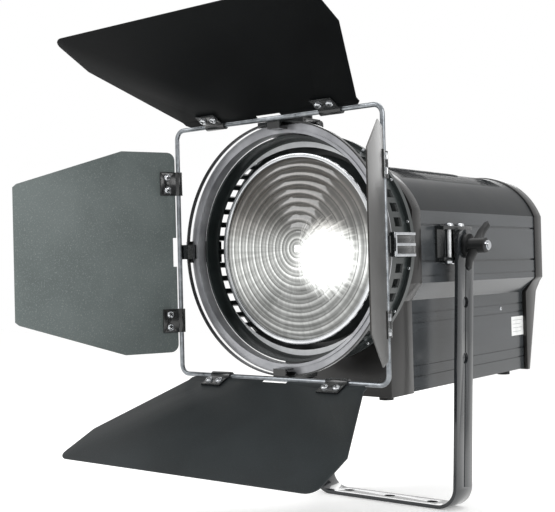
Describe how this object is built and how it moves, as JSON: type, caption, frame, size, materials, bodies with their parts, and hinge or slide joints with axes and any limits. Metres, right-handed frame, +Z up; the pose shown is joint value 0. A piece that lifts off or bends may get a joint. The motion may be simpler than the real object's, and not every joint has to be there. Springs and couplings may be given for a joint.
{
  "type": "fresnel spotlight",
  "caption": "Studio fresnel spotlight: stepped lens in a vented hood, arched housing with bezels, U-shaped tilting yoke, and a rotating ring with hinged barn doors.",
  "frame": {"origin": "centre of the yoke's fixing hole, on the underside of its base", "axes": "+Z up along the fixing bolt, X along the tilt axis, the beam leaves towards -Y, 4 degrees nose-down"},
  "size_m": [0.4332, 0.6548, 0.4899],
  "materials": {
    "arch_grey": "satin powder coat",
    "bare_aluminium": "extruded",
    "bezel_paint": "gloss enamel",
    "black_paint": "satin high-temperature paint",
    "black_plastic": "fine texture",
    "button_plastic": "semi-gloss",
    "chrome_steel": "polished",
    "circuit_board": "solder mask",
    "clamp_paint": "satin black",
    "display_glass": "tinted gloss",
    "driver_case": "grey case, potted",
    "fibre": "matt",
    "knob_plastic": "moulded, semi-matt",
    "leaf_paint": "satin high-temperature paint",
    "led_ceramic": "phosphor on ceramic",
    "lens_glass": "clear pressed glass",
    "panel_grey": "satin powder coat on aluminium",
    "polished_aluminium": "polished",
    "ring_paint": "satin silver paint",
    "rubber": "matt",
    "steel": "machined",
    "switch_plastic": "gloss",
    "wire_steel": "bright zinc",
    "yoke_grey": "satin powder coat"
  },
  "bodies": {
    "yoke": {"yoke": "yoke_grey"},
    "right_knob": {"knob_right": "knob_plastic", "knob_stud_right": "chrome_steel"},
    "left_knob": {"knob_left": "knob_plastic", "knob_stud_left": "chrome_steel"},
    "carriage": {"carriage_plate": "bare_aluminium", "heat_sink": "bare_aluminium", "led_module": "led_ceramic", "reflector": "polished_aluminium", "fan_frame": "black_plastic"},
    "fan": {"fan_rotor": "black_plastic"},
    "zoom": {"lead_screw": "steel", "zoom_knob": "knob_plastic"},
    "latch": {"top_latch": "clamp_paint"},
    "menu_button": {"button_menu": "button_plastic"},
    "up_button": {"button_up": "button_plastic"},
    "down_button": {"button_down": "button_plastic"},
    "enter_button": {"button_enter": "button_plastic"},
    "switch": {"power_switch": "switch_plastic"},
    "barn_door": {"door_ring": "ring_paint", "ring_band": "clamp_paint", "wire_frame": "wire_steel"},
    "door_top": {"leaf_top": "leaf_paint", "clamps_top": "clamp_paint", "screws_top": "chrome_steel"},
    "door_right": {"leaf_right": "leaf_paint", "clamps_right": "clamp_paint", "screws_right": "chrome_steel"},
    "door_bottom": {"leaf_bottom": "leaf_paint", "clamps_bottom": "clamp_paint", "screws_bottom": "chrome_steel"},
    "door_left": {"leaf_left": "leaf_paint", "clamps_left": "clamp_paint", "screws_left": "chrome_steel"},
    "head": {"friction_washers": "fibre", "tilt_bracket_right": "clamp_paint", "tilt_bracket_left": "clamp_paint", "bracket_screws": "chrome_steel", "front_bezel": "bezel_paint", "front_cone": "black_paint", "hood": "black_paint", "lens_holder": "black_paint", "fresnel_lens": "lens_glass", "lens_ring": "polished_aluminium", "side_panel_right": "panel_grey", "side_panel_left": "panel_grey", "arch_cover": "arch_grey", "bottom_plate": "panel_grey", "rear_bezel": "bezel_paint", "rear_panel": "black_paint", "rubber_feet": "rubber", "accessory_clips": "clamp_paint", "latch_base": "clamp_paint", "front_bulkhead": "black_paint", "guide_rods": "steel", "driver_box": "driver_case", "control_board": "circuit_board", "display_window": "display_glass", "power_inlet": "black_plastic", "data_sockets": "black_plastic"}
  },
  "joints": [
    {"name": "head_tilt", "type": "hinge", "parent": "yoke", "child": "head", "pos_m": [0, 0, 0.3], "axis": [-1, 0, 0], "range_deg": [-41, 94]},
    {"name": "right_knob_turn", "type": "hinge", "parent": "head", "child": "right_knob", "pos_m": [0.11, 0, 0.3], "axis": [1, 0, 0], "range_deg": [0, 300]},
    {"name": "left_knob_turn", "type": "hinge", "parent": "head", "child": "left_knob", "pos_m": [-0.11, 0, 0.3], "axis": [-1, 0, 0], "range_deg": [0, 300]},
    {"name": "door_rotation", "type": "hinge", "parent": "head", "child": "barn_door", "pos_m": [0, -0.21348, 0.28507], "axis": [0, 0.9976, 0.0698], "continuous": true},
    {"name": "door_top_hinge", "type": "hinge", "parent": "barn_door", "child": "door_top", "pos_m": [0, -0.23985, 0.41856], "axis": [-1, 0, 0], "range_deg": [-72, 122]},
    {"name": "door_right_hinge", "type": "hinge", "parent": "barn_door", "child": "door_right", "pos_m": [0.135, -0.23044, 0.28389], "axis": [0, -0.0698, 0.9976], "range_deg": [-102, 122]},
    {"name": "door_bottom_hinge", "type": "hinge", "parent": "barn_door", "child": "door_bottom", "pos_m": [0, -0.22102, 0.14921], "axis": [1, 0, 0], "range_deg": [-68, 126]},
    {"name": "door_left_hinge", "type": "hinge", "parent": "barn_door", "child": "door_left", "pos_m": [-0.135, -0.23044, 0.28389], "axis": [0, 0.0698, -0.9976], "range_deg": [-109, 126]},
    {"name": "latch_hinge", "type": "hinge", "parent": "head", "child": "latch", "pos_m": [0, -0.18474, 0.4189], "axis": [1, 0, 0], "range_deg": [-50, 0]},
    {"name": "focus_slide", "type": "slide", "parent": "head", "child": "carriage", "axis": [0, 0.9976, 0.0698], "range_m": [-0.045, 0.045]},
    {"name": "focus_knob", "type": "hinge", "parent": "head", "child": "zoom", "pos_m": [0, 0.20959, 0.38483], "axis": [0, 0.9976, 0.0698], "range_deg": [-815, 815]},
    {"name": "fan_spin", "type": "hinge", "parent": "carriage", "child": "fan", "pos_m": [0, 0.06584, 0.3046], "axis": [0, 0.9976, 0.0698], "continuous": true},
    {"name": "menu_press", "type": "slide", "parent": "head", "child": "menu_button", "axis": [0, -0.9976, -0.0698], "range_m": [0, 0.0015], "stiffness_N_per_m": 400},
    {"name": "up_press", "type": "slide", "parent": "head", "child": "up_button", "axis": [0, -0.9976, -0.0698], "range_m": [0, 0.0015], "stiffness_N_per_m": 400},
    {"name": "down_press", "type": "slide", "parent": "head", "child": "down_button", "axis": [0, -0.9976, -0.0698], "range_m": [0, 0.0015], "stiffness_N_per_m": 400},
    {"name": "enter_press", "type": "slide", "parent": "head", "child": "enter_button", "axis": [0, -0.9976, -0.0698], "range_m": [0, 0.0015], "stiffness_N_per_m": 400},
    {"name": "switch_rocker", "type": "hinge", "parent": "head", "child": "switch", "pos_m": [-0.038, 0.21778, 0.23904], "axis": [1, 0, 0], "range_deg": [0, 20]}
  ],
  "couplings": [
    {"joint": "focus_knob", "follows": "focus_slide", "rad_per_m": 314.16}
  ]
}
